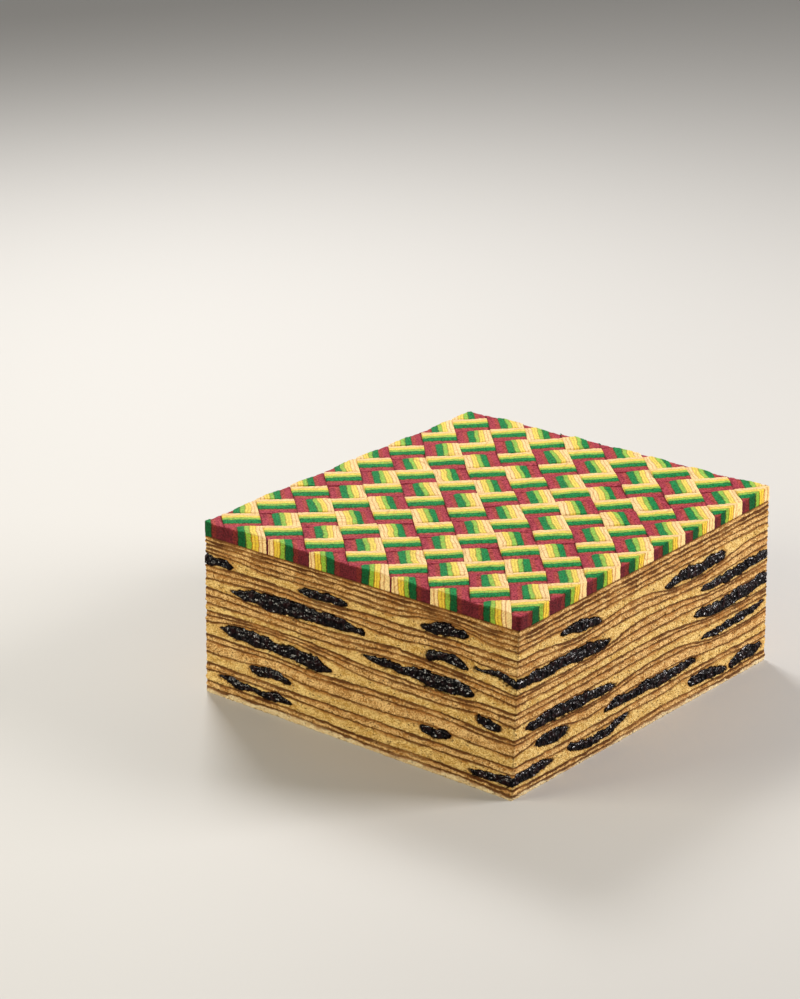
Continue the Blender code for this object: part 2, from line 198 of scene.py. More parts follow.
class Recipe:
    """Adds nodes to a node tree and joins them, with a few short forms."""

    def __init__(self, tree):
        self.tree = tree

    def add(self, kind, inputs=None, **settings):
        node = self.tree.nodes.new(kind)
        for name, value in settings.items():
            setattr(node, name, value)
        for name, value in (inputs or {}).items():
            self.put(node.inputs[name], value)
        return node

    def put(self, socket, value):
        if isinstance(value, bpy.types.NodeSocket):
            self.tree.links.new(value, socket)
        else:
            socket.default_value = value

    def math(self, operation, first, second=0.0):
        return self.add("ShaderNodeMath", {0: first, 1: second}, operation=operation).outputs[0]

    def mix(self, share, first, second, blend="MIX"):
        node = self.add("ShaderNodeMix", data_type="RGBA", blend_type=blend)
        for socket, value in ((0, share), (6, first), (7, second)):
            self.put(node.inputs[socket], value)
        return node.outputs[2]

    def fade(self, value, start, end):
        """Nought at start, one at end, with soft ends."""
        inputs = {"Value": value, "From Min": start, "From Max": end}
        return self.add("ShaderNodeMapRange", inputs, interpolation_type="SMOOTHSTEP").outputs["Result"]

    def number(self, name):
        return self.add("ShaderNodeAttribute", attribute_name=name).outputs["Fac"]

    def grain(self, size, detail=2.0, rough=0.5, shift=0.0, flat=1.0):
        """Noise with lumps of a size in metres, pressed flat by a factor."""
        place = self.add("ShaderNodeTexCoord").outputs["Object"]
        inputs = {0: place, 1: (1.0, 1.0, flat), 2: (shift, shift, shift)}
        moved = self.add("ShaderNodeVectorMath", inputs, operation="MULTIPLY_ADD").outputs[0]
        inputs = {"Vector": moved, "Scale": 1.0 / size, "Detail": detail, "Roughness": rough}
        return self.add("ShaderNodeTexNoise", inputs).outputs["Fac"]


def finish_piece(piece, node, material):
    """Gives a piece its material and smooth shading, hangs it under the root body and hides the node it
    stands for.
    """
    piece.data.materials.append(material)
    piece.data.shade_smooth()
    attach(piece, "root")
    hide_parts(node)


prune_names = sorted(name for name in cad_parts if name.startswith("prune_"))
prune_finish, flesh = plain_material("Prune flesh", (0.012, 0.006, 0.008), 0.5)
recipe = Recipe(prune_finish.node_tree)
lumps = recipe.grain(2.3 * MM, 1.0, 0.5, 0.1)
pebbles = recipe.grain(1.15 * MM, 0.0, 0.5, 0.4)
skin = recipe.mix(recipe.fade(lumps, 0.48, 0.72), BLACK_FLESH, RED_FLESH)
recipe.put(flesh.inputs["Base Color"], skin)
lift = recipe.math("ADD", recipe.math("MULTIPLY", lumps, 0.5), recipe.math("MULTIPLY", pebbles, 0.5))
flesh_bump = recipe.add("ShaderNodeBump", {"Height": lift, "Strength": 1.0, "Distance": FLESH_BUMP})
recipe.put(flesh.inputs["Normal"], flesh_bump.outputs["Normal"])
recipe.put(flesh.inputs["Coat Normal"], flesh_bump.outputs["Normal"])

# Juice lies on the torn flesh where it faces up, in patches, and glistens there
facing_up = recipe.add("ShaderNodeSeparateXYZ", {"Vector": flesh_bump.outputs["Normal"]}).outputs["Z"]
juicy = recipe.math("ADD", 0.25, recipe.fade(recipe.grain(1.8 * MM, 2.0, 0.5, 0.8), 0.44, 0.54))
wet = recipe.math("MULTIPLY", recipe.fade(facing_up, 0.20, 0.36), juicy)
recipe.put(flesh.inputs["Coat Weight"], recipe.math("MINIMUM", wet, 1.0))
flesh.inputs["Coat IOR"].default_value = 1.5
flesh.inputs["Coat Roughness"].default_value = 0.11
flesh.inputs["Specular IOR Level"].default_value = 0.06


def noise_at(point, size, shift):
    """Smooth noise from about -1 to 1, with lumps of a size."""
    return noise.noise(point / size + Vector((shift, 2.0 * shift, 3.0 * shift)))


def relief(point, parts):
    """The sum of some noises at a point."""
    return sum(height * noise_at(point, size, shift) for height, size, shift in parts)


def knead(point, normal):
    """Where a point of a smooth prune lies once the fruit is squeezed, and torn at the cut."""
    standing, outward = max(((point.xy - at).dot(out), (out.x, out.y)) for at, out in cut_planes(point.z))
    flat = Vector((*outward, 0.0))
    facing = flat.dot(normal)
    torn = min(1.0, max(0.0, 2.0 * facing - 0.6)) if standing > -TORN_DEPTH else 0.0
    along = normal - flat * facing * (1.0 if standing > -FLAT_DEPTH else 0.0)
    sway = Vector((0.0, 0.0, relief(point, SWAY)))
    return point + sway + along * relief(point, LUMPS) * (1.0 - torn) + flat * relief(point, TORN) * torn


prune_pieces = {}
for name in prune_names:
    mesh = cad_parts[name].data.copy()
    mesh.materials.clear()
    piece = bpy.data.objects.new("cut_" + name, mesh)
    bpy.context.scene.collection.objects.link(piece)
    regrid = piece.modifiers.new("even grid", "REMESH")
    regrid.mode = "VOXEL"
    regrid.voxel_size = PRUNE_GRID
    soften = piece.modifiers.new("soften", "SMOOTH")
    soften.factor = 0.5
    soften.iterations = 2
    fine_mesh = bpy.data.meshes.new_from_object(piece.evaluated_get(bpy.context.evaluated_depsgraph_get()))
    piece.modifiers.clear()
    piece.data = fine_mesh
    moved = [knead(vertex.co, vertex.normal) for vertex in fine_mesh.vertices]
    fine_mesh.vertices.foreach_set("co", [number for place in moved for number in place])
    fine_mesh.update()
    finish_piece(piece, name, prune_finish)
    prune_pieces[name] = fine_mesh


# Sponge layers
# Each layer is a thin pour of rich yellow batter, spread on the one below and browned under a grill before
# the next. At the cut sides its golden crumb shows, with the brown skin as a dark line along its top.
STEP_ALONG = 0.5 * MM
STEP_UP = 0.36 * MM
LINE_SAMPLE = 2.0 * MM
LINE_SMOOTHING = 3.0 * MM
LINE_WANDER = 0.24 * MM
WANDER_SIZES = (6.0 * MM, 1.8 * MM)
THINNEST_POUR = 0.7 * MM
PRUNE_LAYERS = ("layer_03", "layer_05", "layer_08", "layer_11", "layer_14", "layer_17")
PACKED_GAP = 0.15 * MM
PROBE_INSIDE = 1.2 * MM
PROBE_START = 5.0 * MM
SKIN_GROOVE = 0.09 * MM
CRUMB = ((0.22 * MM, 2.6 * MM, 0.0), (0.24 * MM, 1.1 * MM, 6.0))
CRUMB_FLATNESS = 1.5
PORE_SIZE = 1.3 * MM
PORE_DEPTH = 0.7 * MM
CORNER_CRUMBLE = 0.3 * MM
CORNER_REACH = 1.2 * MM
KNIFE_DEPTH = 1.0 * MM
PRUNE_STANDS_OUT = 2.5 * MM
BEHIND_PRUNE = 0.2 * MM
STAIN_SQUASH = 4.5
STAIN_REACH = 2.0 * MM
STAIN_MARGIN = 5.0 * MM
FAR_FROM_SKIN = 9.0


def add_attribute(mesh, name, values):
    """A number for each vertex, which the materials read."""
    attribute = mesh.attributes.new(name, "FLOAT", "POINT")
    attribute.data.foreach_set("value", np.asarray(values, np.float32))


def solid_tree(mesh, stretch=1.0):
    """A search tree over a mesh's faces, with heights stretched."""
    points = [(v.co.x, v.co.y, v.co.z * stretch) for v in mesh.vertices]
    return BVHTree.FromPolygons(points, [p.vertices for p in mesh.polygons])


layer_names = sorted(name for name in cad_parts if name.startswith("layer_"))
layer_count = len(layer_names)
layer_trees = {}
for name in layer_names:
    if name not in PRUNE_LAYERS:
        layer_trees[name] = solid_tree(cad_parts[name].data)


def packed_height(node, way, from_above):
    """The height of a packed layer's upper or lower face just inside the cut."""
    lowest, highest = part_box(node)
    point, outward = cut_point(way, 0.5 * (lowest.z + highest.z))
    inside = point - outward * PROBE_INSIDE
    start = highest.z + PROBE_START if from_above else lowest.z - PROBE_START
    beam = Vector((0.0, 0.0, -1.0 if from_above else 1.0))
    hit = layer_trees[node].ray_cast(Vector((*inside, start)), beam)[0]
    return hit.z if hit else None


def boundary_line(number, ways):
    """The smoothed heights of the line between two layers, sampled round the cake."""
    below = layer_names[number - 1]
    above = layer_names[number]
    if below in layer_trees:
        found = [packed_height(below, way, True) for way in ways]
        offset = PACKED_GAP
    else:
        found = [packed_height(above, way, False) for way in ways]
        offset = -PACKED_GAP
    usual = float(np.median([height for height in found if height is not None]))
    heights = np.array([usual if height is None else height for height in found]) + offset
    reach = int(3.0 * LINE_SMOOTHING / LINE_SAMPLE)
    weights = np.exp(-0.5 * (np.arange(-reach, reach + 1) * LINE_SAMPLE / LINE_SMOOTHING) ** 2)
    weights /= weights.sum()
    return sum(weight * np.roll(heights, k - reach) for k, weight in enumerate(weights))


sample_count = round(ROUND_LENGTH / LINE_SAMPLE)
sample_ways = [ROUND_LENGTH * k / sample_count for k in range(sample_count)]
column_count = round(ROUND_LENGTH / STEP_ALONG)
column_ways = [ROUND_LENGTH * k / column_count for k in range(column_count)]
lines = [np.zeros(column_count)]
for number in range(1, layer_count):
    coarse = boundary_line(number, sample_ways)
    line = np.interp(column_ways, sample_ways + [ROUND_LENGTH], np.append(coarse, coarse[0]))
    for k, way in enumerate(column_ways):
        place = Vector((*cut_point(way, line[k])[0], 0.0))
        wander = noise_at(place, WANDER_SIZES[0], 4.3 * number)
        wander += 0.4 * noise_at(place, WANDER_SIZES[1], 2.1 * number)
        line[k] += LINE_WANDER * wander
    lines.append(np.maximum(line, lines[-1] + THINNEST_POUR))
lines.append(np.full(column_count, SHEET_FOOT))


def near_corner(way):
    """One at a vertical corner of the cake, fading to nought a little way from it."""
    half = 0.5 * ROUND_LENGTH
    nearest = min(abs((way - sum(SIDE_LENGTHS[:k]) + half) % ROUND_LENGTH - half) for k in range(4))
    return max(0.0, 1.0 - nearest / CORNER_REACH)


def crumb_relief(place, corner):
    """How far the torn crumb stands out of the cut at a place."""
    pressed = Vector((place.x, place.y, place.z * CRUMB_FLATNESS))
    pore = max(0.0, noise_at(pressed, PORE_SIZE, 11.0) - 0.3)
    crumble = corner * (noise_at(place, PORE_SIZE, 13.0) - 0.15) * CORNER_CRUMBLE
    return relief(pressed, CRUMB) - PORE_DEPTH * pore + crumble


prune_shapes = []
for mesh in prune_pieces.values():
    spots = np.array([vertex.co for vertex in mesh.vertices])
    prune_shapes.append((solid_tree(mesh), solid_tree(mesh, STAIN_SQUASH), spots.min(0), spots.max(0)))
prunes_by_column = []
for way in column_ways:
    plan = np.array(cut_point(way, 0.5 * SHEET_FOOT)[0])
    close = [shape for shape in prune_shapes
             if np.all(plan > shape[2][:2] - STAIN_MARGIN) and np.all(plan < shape[3][:2] + STAIN_MARGIN)]
    prunes_by_column.append(close)


def meet_prunes(column, point, outward):
    """How far a point of the cut gives way to a prune, and how stained the crumb is there."""
    stain = 0.0
    for tree, squashed, lowest, highest in prunes_by_column[column]:
        if point.z < lowest[2] - STAIN_REACH or point.z > highest[2] + STAIN_REACH:
            continue
        inner = point - outward * KNIFE_DEPTH
        face = tree.ray_cast(inner, outward, PRUNE_STANDS_OUT)
        if face[0] and face[1].dot(outward) > 0.0:
            behind = tree.ray_cast(inner, -outward)
            return KNIFE_DEPTH + BEHIND_PRUNE + (behind[3] if behind[0] else 0.0), 1.0
        spread = Vector((point.x, point.y, point.z * STAIN_SQUASH))
        edge, _, _, distance = squashed.find_nearest(spread)
        if (edge - spread).dot(outward) > -0.75 * distance:
            stain = max(stain, math.exp(-distance / STAIN_REACH))
    return 0.0, stain


def sponge_layer(number, material):
    """One layer as a slab whose rim has the crumb's relief and a pocket for each prune."""
    lower = lines[number - 1]
    upper = lines[number]
    rows = max(5, round(float(np.mean(upper - lower)) / STEP_UP))
    points = []
    under_skin = []
    over_skin = []
    stains = []
    for row in range(rows + 1):
        share = row / rows
        groove = SKIN_GROOVE * abs(2.0 * share - 1.0) ** 4
        for k, way in enumerate(column_ways):
            height = lower[k] + share * (upper[k] - lower[k])
            plan, outward = cut_point(way, height)
            base = Vector((*plan, height))
            room, stain = meet_prunes(k, base, Vector((*outward, 0.0)))
            push = -room if room else crumb_relief(base, near_corner(way)) - groove
            points.append((*(plan + outward * push), height))
            under_skin.append((upper[k] - height) / MM)
            over_skin.append((height - lower[k]) / MM if number > 1 else FAR_FROM_SKIN)
            stains.append(stain)
    rim = len(points)
    points.append((0.0, 0.0, float(np.mean(lower))))
    points.append((0.0, 0.0, float(np.mean(upper))))
    faces = []
    for row in range(rows):
        for k in range(column_count):
            after = (k + 1) % column_count
            low = row * column_count
            high = low + column_count
            faces.append((low + k, low + after, high + after, high + k))
    top_row = rows * column_count
    for k in range(column_count):
        after = (k + 1) % column_count
        faces.append((rim, after, k))
        faces.append((rim + 1, top_row + k, top_row + after))
    mesh = bpy.data.meshes.new(f"sponge_{number:02d}")
    mesh.from_pydata(points, [], faces)
    add_attribute(mesh, "under_skin", under_skin + [FAR_FROM_SKIN, 0.0])
    add_attribute(mesh, "over_skin", over_skin + [0.0, FAR_FROM_SKIN])
    add_attribute(mesh, "stain", stains + [0.0, 0.0])
    piece = bpy.data.objects.new(f"sponge_{number:02d}", mesh)
    bpy.context.scene.collection.objects.link(piece)
    finish_piece(piece, layer_names[number - 1], material)


def new_group(name, inputs, outputs):
    """A shader node group with named sockets, and a recipe for its inside."""
    tree = bpy.data.node_groups.new(name, "ShaderNodeTree")
    for label, kind, value in inputs:
        socket = tree.interface.new_socket(label, in_out="INPUT", socket_type=kind)
        socket.default_value = value
    for label, kind in outputs:
        tree.interface.new_socket(label, in_out="OUTPUT", socket_type=kind)
    recipe = Recipe(tree)
    return tree, recipe, recipe.add("NodeGroupInput").outputs, recipe.add("NodeGroupOutput").inputs


# The torn crumb of a fine sponge: a mottled tone, a mask of small pores, which the materials darken as
# painted shade, and a grainy height
crumb_group, inside, given, result = new_group(
    "Torn crumb",
    [("Grain", "NodeSocketFloat", 0.5), ("Pores", "NodeSocketFloat", 0.5)],
    [("Tone", "NodeSocketFloat"), ("Pore mask", "NodeSocketFloat"), ("Height", "NodeSocketFloat")],
)
speck = inside.grain(0.62 * MM, 2.0, 0.7, 0.0, 1.3)
patch = inside.grain(4.0 * MM, 2.0, 0.5, 0.3, 1.8)
place = inside.add("ShaderNodeTexCoord").outputs["Object"]
place = inside.add("ShaderNodeVectorMath", {0: place, 1: (1.0, 1.0, 1.5)}, operation="MULTIPLY").outputs[0]
cells = inside.add("ShaderNodeTexVoronoi", {"Vector": place, "Scale": 1.0 / (1.4 * MM), "Randomness": 1.0})
open_pore = inside.fade(cells.outputs["Distance"], 0.36, 0.14)
chance = inside.fade(inside.grain(2.4 * MM, 1.0, 0.5, 0.7), 0.46, 0.6)
pore_mask = inside.math("MULTIPLY", inside.math("MULTIPLY", open_pore, chance), given["Pores"])
fine_share = inside.math("MULTIPLY", speck, given["Grain"])
broad_share = inside.math("MULTIPLY", patch, inside.math("SUBTRACT", 1.0, given["Grain"]))
inside.put(result["Tone"], inside.fade(inside.math("ADD", fine_share, broad_share), 0.41, 0.585))
inside.put(result["Pore mask"], pore_mask)
inside.put(result["Height"], inside.math("SUBTRACT", speck, inside.math("MULTIPLY", pore_mask, 0.8)))

# A grilled layer's cut: crumb, painted shade in its pores, tan heat under the skin, the dark skin line and
# the stain of a prune
cut_group, inside, given, result = new_group(
    "Grilled layer cut",
    [("Light crumb", "NodeSocketColor", (0.7, 0.45, 0.2, 1.0)),
     ("Deep crumb", "NodeSocketColor", (0.5, 0.28, 0.1, 1.0)),
     ("Line strength", "NodeSocketFloat", 1.0), ("Line width", "NodeSocketFloat", 0.4)],
    [("Colour", "NodeSocketColor"), ("Roughness", "NodeSocketFloat"), ("Height", "NodeSocketFloat")],
)
SCORCHED = (0.115, 0.038, 0.007, 1.0)
TOASTED = (0.41, 0.148, 0.022, 1.0)
PORE_SHADE = (0.18, 0.07, 0.015, 1.0)
JUICE = (0.02, 0.008, 0.006, 1.0)
crumb = inside.add("ShaderNodeGroup", node_tree=crumb_group)
crumb.inputs["Grain"].default_value = 0.72
crumb.inputs["Pores"].default_value = 0.8
under = inside.number("under_skin")
over = inside.number("over_skin")
ragged = inside.math("SUBTRACT", inside.grain(0.9 * MM, 3.0, 0.65, 0.2, 1.4), 0.5)
fray = inside.math("MULTIPLY", ragged, 0.95)
swell = inside.math("MULTIPLY", inside.fade(inside.grain(9.0 * MM, 2.0, 0.5, 0.5, 2.0), 0.38, 0.70), 1.2)
width = inside.math("MULTIPLY", given["Line width"], inside.math("ADD", 0.55, swell))
depth = inside.math("ADD", under, fray)
line_mask = inside.fade(depth, inside.math("ADD", width, 0.40), inside.math("SUBTRACT", width, 0.20))
lower_edge = inside.fade(inside.math("ADD", over, fray), 0.24, 0.04)
line_mask = inside.math("MAXIMUM", line_mask, inside.math("MULTIPLY", lower_edge, 0.6))
fading = inside.math("MULTIPLY", inside.fade(inside.grain(13.0 * MM, 1.0, 0.5, 0.9, 2.0), 0.3, 0.5), 0.4)
strength = inside.math("MULTIPLY", given["Line strength"], inside.math("ADD", 0.6, fading))
line_mask = inside.math("MULTIPLY", line_mask, strength)
heat_patch = inside.fade(inside.grain(7.0 * MM, 2.0, 0.5, 1.1), 0.35, 0.7)
heat_reach = inside.math("ADD", 0.65, inside.math("MULTIPLY", heat_patch, 1.9))
heat = inside.math("MULTIPLY", inside.fade(depth, heat_reach, 0.1), 0.8)
body = inside.mix(crumb.outputs["Tone"], given["Deep crumb"], given["Light crumb"])
warm = inside.mix(heat, body, TOASTED)
# The pores are darkened with a brown that is painted shade
pore_shaded = inside.mix(inside.math("MULTIPLY", crumb.outputs["Pore mask"], 0.75), warm, PORE_SHADE)
juice_edge = inside.math("ADD", inside.number("stain"), inside.math("MULTIPLY", fray, 0.25))
tinted = inside.mix(inside.math("MULTIPLY", inside.fade(juice_edge, 0.25, 0.75), 0.5), pore_shaded, TOASTED)
lined = inside.mix(line_mask, tinted, SCORCHED)
soaked = inside.mix(inside.math("MULTIPLY", inside.fade(juice_edge, 0.6, 0.85), 0.95), lined, JUICE)
inside.put(result["Colour"], soaked)
dullness = inside.math("ADD", 0.5, inside.math("MULTIPLY", crumb.outputs["Tone"], 0.25))
inside.put(result["Roughness"], dullness)
skin_dip = inside.math("MULTIPLY", line_mask, 0.5)
inside.put(result["Height"], inside.math("SUBTRACT", crumb.outputs["Height"], skin_dip))


CUT_BUMP = 0.75 * MM


def sponge_material(name, light, deep, strength, width):
    """The finish of a layer: colours of its crumb and how dark its skin line is."""
    material, shader = plain_material(name, light, 0.7)
    recipe = Recipe(material.node_tree)
    cut = recipe.add("ShaderNodeGroup", node_tree=cut_group)
    cut.inputs["Light crumb"].default_value = (*light, 1.0)
    cut.inputs["Deep crumb"].default_value = (*deep, 1.0)
    cut.inputs["Line strength"].default_value = strength
    cut.inputs["Line width"].default_value = width
    recipe.put(shader.inputs["Base Color"], cut.outputs["Colour"])
    recipe.put(shader.inputs["Roughness"], cut.outputs["Roughness"])
    inputs = {"Height": cut.outputs["Height"], "Strength": 1.0, "Distance": CUT_BUMP}
    bump = recipe.add("ShaderNodeBump", inputs)
    recipe.put(shader.inputs["Normal"], bump.outputs["Normal"])
    shader.inputs["Specular IOR Level"].default_value = 0.1
    return material


GOLD = ((0.97, 0.63, 0.25), (0.43, 0.19, 0.036))
BUTTER = ((0.98, 0.69, 0.26), (0.57, 0.31, 0.062))
FOOT_CRUST = ((0.93, 0.76, 0.45), (0.76, 0.53, 0.25))
LINE_STRENGTHS = (0.88, 0.94, 1.0)
LINE_WIDTHS = (0.44, 0.56, 0.68)
golden = [sponge_material(f"Golden sponge {k}", *GOLD, LINE_STRENGTHS[k], LINE_WIDTHS[k]) for k in range(3)]
butter = sponge_material("Butter sponge", *BUTTER, 0.9, 0.4)
foot_crust = sponge_material("Pale foot", *FOOT_CRUST, 0.9, 0.6)
for number in range(1, layer_count + 1):
    thick_pour = layer_names[number - 1] in PRUNE_LAYERS
    own = foot_crust if number == 1 else golden[number % 3]
    sponge_layer(number, butter if thick_pour else own)


# Woven top
# Small square tiles cut from a slab baked in red, green, light green, yellow and cream layers, and laid
# edge to edge on the cake with jam. The stripes of neighbours run crosswise, which makes the woven look.
TILE = 12.9 * MM
TILE_TURN = math.radians(46.2)
TILE_ORIGIN = Vector((7.6 * MM, -29.3 * MM))
ACROSS = Vector((math.cos(TILE_TURN), math.sin(TILE_TURN)))
TOWARDS = Vector((math.sin(TILE_TURN), -math.cos(TILE_TURN)))
TILE_REACH = 10
FRONT_SHIFT = 0.012
BACK_SHIFT = 0.05
BACK_ROWS = 6.0
SAG = 0.2
SAG_LOST_IN_FRONT = 0.013
SQUEEZED_ROWS = 5.5
SAG_LOST_BEHIND = 0.02
SAG_LOST_ASIDE = 0.35
SAG_HALF_WIDTH = 6.5
TILE_STEPS = 22
FEWEST_CELLS = 5
HAND_CUT = 0.5 * MM
JOINT = 0.06 * MM
EDGE_DROP = 0.12 * MM
EDGE_LUMPS = 1.1 * MM
WALL_ROWS = 10
NEAR_SIDE = 0.1 * MM
ON_CUT = 0.02 * MM
SAME_POINT = 0.01 * MM
CLEAN_FOOT = 0.05 * MM
PROBE_INSET = 0.5 * MM
PROBE_HEIGHT = 0.2
TOP_RELIEF = ((0.16 * MM, 1.6 * MM, 2.0), (0.112 * MM, 0.7 * MM, 4.0))
SIDE_RELIEF = ((0.17 * MM, 1.7 * MM, 1.0), (0.136 * MM, 0.8 * MM, 8.0))
CROSSWISE_RIDGE = 0.6 * MM
LENGTHWISE_RIDGE = 0.5 * MM
STRAND_START = 0.04
STRAND_SPAN = 0.78
RED_EDGE = 0.32
STRIPE_EDGES = (0.20, RED_EDGE, 0.51, 0.64, 0.80)
LAST_TURNED_ROW = 6
SINK = 1.6 * MM
SINK_MIDDLE = Vector((69.0 * MM, 15.0 * MM))
SINK_INWARDS = 32.0 * MM
SINK_ALONG = 35.0 * MM
SLIDE = Vector((-1.5, 2.0))
FAINT_LINES = ((0.715, 0.6), (0.90, 0.9))
LINE_HALF = 0.023
STRIPE_BLUR = 0.012
# The stripe colours of the cut sides are darker in the red and green than those of the top: partly the
# moister crumb of a fresh cut, partly painted shade
SHADED_CUT_COLOURS = ((0.125, 0.011, 0.016), (0.17, 0.018, 0.014), (0.001, 0.085, 0.020), (0.25, 0.44, 0.035),
               (0.84, 0.60, 0.05), (0.95, 0.69, 0.30))
TOP_COLOURS = ((0.35, 0.016, 0.038), (0.37, 0.030, 0.024), (0.001, 0.205, 0.048), (0.26, 0.50, 0.07),
               (0.82, 0.66, 0.12), (0.90, 0.65, 0.32))


def sunk(place):
    """How far the sheet has sunk at a place, most at the middle of the right side."""
    away = place - SINK_MIDDLE
    return SINK * math.exp(-(away.x / SINK_INWARDS) ** 2 - (away.y / SINK_ALONG) ** 2)


def lattice_point(i, j):
    """A meeting point of four tiles. Rows drift as they are laid by eye, and each tile is cut by hand."""
    along = i - FRONT_SHIFT * max(0.0, j) ** 2 + BACK_SHIFT * max(0.0, -BACK_ROWS - j)
    squeezed = min(max(0.0, j + 1.0), SQUEEZED_ROWS)
    sag = SAG - SAG_LOST_IN_FRONT * squeezed ** 2 - SAG_LOST_BEHIND * max(0.0, -1.0 - j)
    down = j + sag - SAG_LOST_ASIDE * ((i - 1.0) / SAG_HALF_WIDTH) ** 2
    place = TILE_ORIGIN + TILE * (along * ACROSS + down * TOWARDS)
    drift = Vector([noise.noise(Vector((1.7 * i, 2.3 * j, shift))) for shift in (0.5, 8.5)])
    return place + sunk(place) * SLIDE + HAND_CUT * drift


def is_turned_back(i, j):
    """True where a tile with stripes running away from the viewer has its cream side at the left."""
    for near_i, near_j in ((i + 1, j), (i - 1, j), (i, j + 1), (i, j - 1)):
        if near_i % 3 == 1 and near_j % 3 == 1 and (near_i + near_j) % 2 == 0 and near_j <= LAST_TURNED_ROW:
            return True
    return False


sheet_planes = cut_planes(0.5 * (SHEET_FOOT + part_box("woven_top")[1].z))
sheet_tree = solid_tree(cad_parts["woven_top"].data)


def sheet_height(places):
    """How high the highest packed tile under some places would be if the sheet had not sunk."""
    heights = []
    for place in places:
        probe = place.copy()
        for at, out in sheet_planes:
            probe -= out * max(0.0, (probe - at).dot(out) + PROBE_INSET)
        hit = sheet_tree.ray_cast(Vector((*probe, PROBE_HEIGHT)), Vector((0.0, 0.0, -1.0)))[0]
        if hit:
            heights.append(hit.z + sunk(probe))
    return max(heights)


def stripe_rise(stripe, ridge):
    """The height of the pale stripes above the red one, round like a strand."""
    if stripe < RED_EDGE:
        return 0.0
    share = (stripe - RED_EDGE) / (1.0 - RED_EDGE)
    return ridge * math.sqrt(max(0.0, math.sin(math.pi * (STRAND_START + STRAND_SPAN * share))))


def kept_inside(place):
    """A place moved onto the cut sides where it lies beyond them, and how far beyond it lay."""
    moved = place.copy()
    outside = 0.0
    for at, out in sheet_planes:
        beyond = (moved - at).dot(out)
        outside = max(outside, beyond)
        moved -= out * max(0.0, beyond)
    return moved, outside


def tile_grid(corners, crosswise, back):
    """Points all over a tile, with how far each lay beyond the sides and its place across the stripes."""
    grid = {}
    for a in range(TILE_STEPS + 1):
        for b in range(TILE_STEPS + 1):
            s = a / TILE_STEPS
            t = b / TILE_STEPS
            place = corners[0].lerp(corners[1], s).lerp(corners[3].lerp(corners[2], s), t)
            moved, outside = kept_inside(place)
            s += (moved - place).dot(ACROSS) / TILE
            t += (moved - place).dot(TOWARDS) / TILE
            stripe = 1.0 - t if crosswise else (1.0 - s if back else s)
            grid[a, b] = (moved, outside, min(1.0, max(0.0, stripe)))
    return grid


def tile_cells(grid):
    """The cells of a tile's grid that lie inside the cut sides, at least in part."""
    cells = []
    for a in range(TILE_STEPS):
        for b in range(TILE_STEPS):
            keys = [(a, b), (a, b + 1), (a + 1, b + 1), (a + 1, b)]
            if any(grid[key][1] <= 0.0 for key in keys):
                cells.append(keys)
    return cells


def add_upper_face(blocks, grid, cells, top, ridge):
    """Adds a tile's rough upper face to a mesh of blocks, and returns the edges of its rim."""
    stripe_layer = blocks.verts.layers.float["stripe"]
    top_layer = blocks.verts.layers.float["top"]
    vertices = {}
    for key in dict.fromkeys(key for keys in cells for key in keys):
        place, _, stripe = grid[key]
        spot = Vector((*place, top - sunk(place)))
        spot.z += relief(spot, TOP_RELIEF)
        spot.z += stripe_rise(stripe, ridge) - 0.5 * ridge
        vertex = blocks.verts.new(spot)
        vertex[stripe_layer] = stripe
        vertex[top_layer] = 1.0
        vertices[key] = vertex
    for keys in cells:
        blocks.faces.new([vertices[key] for key in keys])
    bmesh.ops.remove_doubles(blocks, verts=list(vertices.values()), dist=SAME_POINT)
    own = [vertex for vertex in vertices.values() if vertex.is_valid]
    rim = list(dict.fromkeys(edge for vertex in own for edge in vertex.link_edges if edge.is_boundary))
    for vertex in dict.fromkeys(vertex for edge in rim for vertex in edge.verts):
        vertex.co.z -= EDGE_DROP * (0.5 + abs(noise_at(vertex.co, EDGE_LUMPS, 6.0)))
        vertex[top_layer] = 0.5
    return rim


def close_tile(blocks, rim, rows):
    """Gives a tile walls down to the sponge, in some rows of faces, and a lower face."""
    top_layer = blocks.verts.layers.float["top"]
    for row in range(rows):
        grown = bmesh.ops.extrude_edge_only(blocks, edges=rim)["geom"]
        rim = [item for item in grown if isinstance(item, bmesh.types.BMEdge) and item.is_boundary]
        for vertex in [item for item in grown if isinstance(item, bmesh.types.BMVert)]:
            vertex.co.z += (SHEET_FOOT - vertex.co.z) / (rows - row)
            vertex[top_layer] = 0.0
    bmesh.ops.contextual_create(blocks, geom=rim)


def add_tile(blocks, i, j):
    """Adds one tile to a mesh of blocks: a closed block, cut off at the cake's sides."""
    corners = [lattice_point(i + right, j + near) for right, near in ((0, 0), (1, 0), (1, 1), (0, 1))]
    middle = sum(corners, Vector((0.0, 0.0))) / 4.0
    if all(max((spot - at).dot(out) for at, out in sheet_planes) > 0.0 for spot in corners + [middle]):
        return
    top = sheet_height(corners + [middle])
    corners = [corner + (middle - corner).normalized() * JOINT for corner in corners]
    crosswise = (i + j) % 2 == 0
    back = not crosswise and is_turned_back(i, j)
    grid = tile_grid(corners, crosswise, back)
    cells = tile_cells(grid)
    if len(cells) < FEWEST_CELLS:
        return
    rim = add_upper_face(blocks, grid, cells, top, CROSSWISE_RIDGE if crosswise else LENGTHWISE_RIDGE)
    at_side = any((corner - at).dot(out) > -NEAR_SIDE for corner in corners for at, out in sheet_planes)
    close_tile(blocks, rim, WALL_ROWS if at_side else 1)


def roughen_sides(blocks):
    """Roughens the tiles where the knife has cut them."""
    for vertex in blocks.verts:
        if vertex.co.z < SHEET_FOOT + CLEAN_FOOT:
            continue
        near = [out for at, out in sheet_planes if abs((vertex.co.xy - at).dot(out)) < ON_CUT]
        if len(near) == 1:
            vertex.co.xy += near[0] * relief(vertex.co, SIDE_RELIEF)


SHARPEST_SMOOTH = math.radians(50.0)


